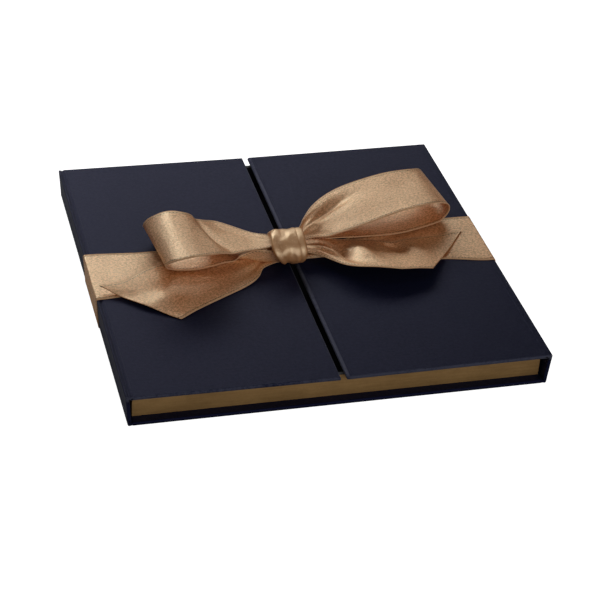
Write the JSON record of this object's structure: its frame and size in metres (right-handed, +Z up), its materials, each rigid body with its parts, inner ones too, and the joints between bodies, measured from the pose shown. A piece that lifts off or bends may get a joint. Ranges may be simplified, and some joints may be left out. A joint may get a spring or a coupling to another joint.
{
  "type": "gift box",
  "caption": "Shallow square gift box with folding spines, a pair of doors over a gold-papered tray, and a satin ribbon tied in a bow on top.",
  "frame": {"origin": "centre of the lowest face: the underside of the ribbon run under the base", "axes": "+X across the doors towards the right spine, +Y towards the back edge, +Z up out of the doors"},
  "size_m": [0.2008, 0.2, 0.039],
  "materials": {
    "covering": "dark navy leatherette with a fine grain, satin",
    "board": "grey board",
    "lining": "black uncoated paper",
    "gold_paper": "gold metallic paper",
    "ribbon": "tan double-faced satin"
  },
  "bodies": {
    "case": {"base_board": "board", "base_cover": "covering", "base_lining": "lining", "tray_floor": "board", "tray_front_wall": "board", "tray_back_wall": "board", "tray_left_wall": "board", "tray_right_wall": "board", "tray_wrap": "gold_paper", "tray_liner": "lining", "ribbon_under_run": "ribbon"},
    "left_spine": {"left_spine_board": "board", "left_spine_cover": "covering", "left_spine_lining": "lining", "left_base_fold": "covering", "left_door_fold": "covering", "ribbon_left_side_run": "ribbon"},
    "right_spine": {"right_spine_board": "board", "right_spine_cover": "covering", "right_spine_lining": "lining", "right_base_fold": "covering", "right_door_fold": "covering", "ribbon_right_side_run": "ribbon"},
    "left_door": {"left_door_board": "board", "left_door_cover": "covering", "left_door_lining": "lining", "ribbon_left_top_run": "ribbon", "bow_knot": "ribbon", "bow_left_loop": "ribbon", "bow_right_loop": "ribbon", "bow_left_tail": "ribbon", "bow_right_tail": "ribbon"},
    "right_door": {"right_door_board": "board", "right_door_cover": "covering", "right_door_lining": "lining", "ribbon_right_top_run": "ribbon"}
  },
  "joints": [
    {"name": "left_spine_hinge", "type": "hinge", "parent": "case", "child": "left_spine", "pos_m": [-0.098, 0, 0.0013], "axis": [0, -1, 0], "range_deg": [0, 45]},
    {"name": "left_door_hinge", "type": "hinge", "parent": "left_spine", "child": "left_door", "pos_m": [-0.0991, 0, 0.0154], "axis": [0, -1, 0], "range_deg": [0, 105]},
    {"name": "right_spine_hinge", "type": "hinge", "parent": "case", "child": "right_spine", "pos_m": [0.098, 0, 0.0013], "axis": [0, 1, 0], "range_deg": [0, 45]},
    {"name": "right_door_hinge", "type": "hinge", "parent": "right_spine", "child": "right_door", "pos_m": [0.0991, 0, 0.0154], "axis": [0, 1, 0], "range_deg": [0, 105]}
  ],
  "couplings": [
    {"joint": "right_spine_hinge", "follows": "left_spine_hinge", "ratio": 1},
    {"joint": "right_door_hinge", "follows": "left_door_hinge", "ratio": 1}
  ]
}
